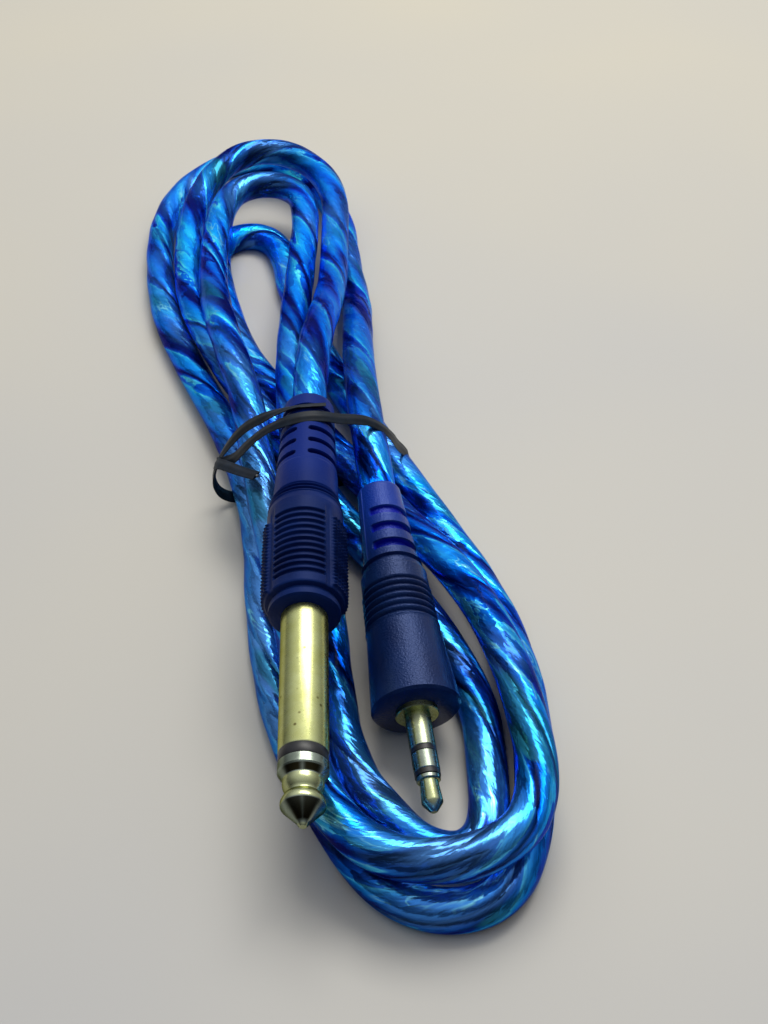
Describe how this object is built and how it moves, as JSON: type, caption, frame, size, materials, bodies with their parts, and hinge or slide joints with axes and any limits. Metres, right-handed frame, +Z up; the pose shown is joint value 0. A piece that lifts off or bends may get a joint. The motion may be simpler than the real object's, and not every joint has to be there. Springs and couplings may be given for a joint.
{
  "type": "instrument cable",
  "caption": "Instrument cable with a clear jacket over blue metallic film, a 6.35 mm mono plug and a 3.5 mm stereo plug, folded into a hank with a twist tie.",
  "frame": {"origin": "on the table under the middle of the hank's box", "axes": "+Y along the hank towards its far turns, +Z up, +X to the right seen from the plugs' tips"},
  "size_m": [0.0729, 0.2018, 0.0232],
  "materials": {
    "cord_jacket": "clear glossy PVC jacket over creased blue metallic film",
    "navy_pvc": "moulded translucent navy PVC, satin",
    "hard_moulding": "moulded hard plastic",
    "gold_plate": "turned brass with a satin gold flash plating",
    "black_insulator": "black moulded insulator",
    "tinned_lug": "stamped tinned brass sheet",
    "copper_wire": "bare copper strands",
    "solder": "soft solder",
    "tie_plastic": "black plastic ribbon",
    "tie_wire": "annealed steel wire"
  },
  "bodies": {
    "root": {"cable_hank": "cord_jacket", "jack_overmould": "navy_pvc", "jack_inner_mould": "hard_moulding", "jack_sleeve": "gold_plate", "jack_insulator": "black_insulator", "jack_tip": "gold_plate", "jack_rear_washer": "black_insulator", "jack_tip_lug": "tinned_lug", "jack_sleeve_lug": "tinned_lug", "jack_signal_wire": "copper_wire", "jack_ground_wire": "copper_wire", "jack_signal_solder": "solder", "jack_ground_solder": "solder", "mini_overmould": "navy_pvc", "mini_inner_mould": "hard_moulding", "mini_sleeve": "gold_plate", "mini_ring_insulator": "black_insulator", "mini_ring": "gold_plate", "mini_tip_insulator": "black_insulator", "mini_tip": "gold_plate", "mini_tip_lug": "tinned_lug", "mini_ring_lug": "tinned_lug", "mini_sleeve_lug": "tinned_lug", "mini_signal_wire": "copper_wire", "mini_ground_wire": "copper_wire", "mini_signal_solder": "solder", "mini_ground_solder": "solder", "twist_tie_cover": "tie_plastic", "twist_tie_wire": "tie_wire"}
  },
  "joints": []
}
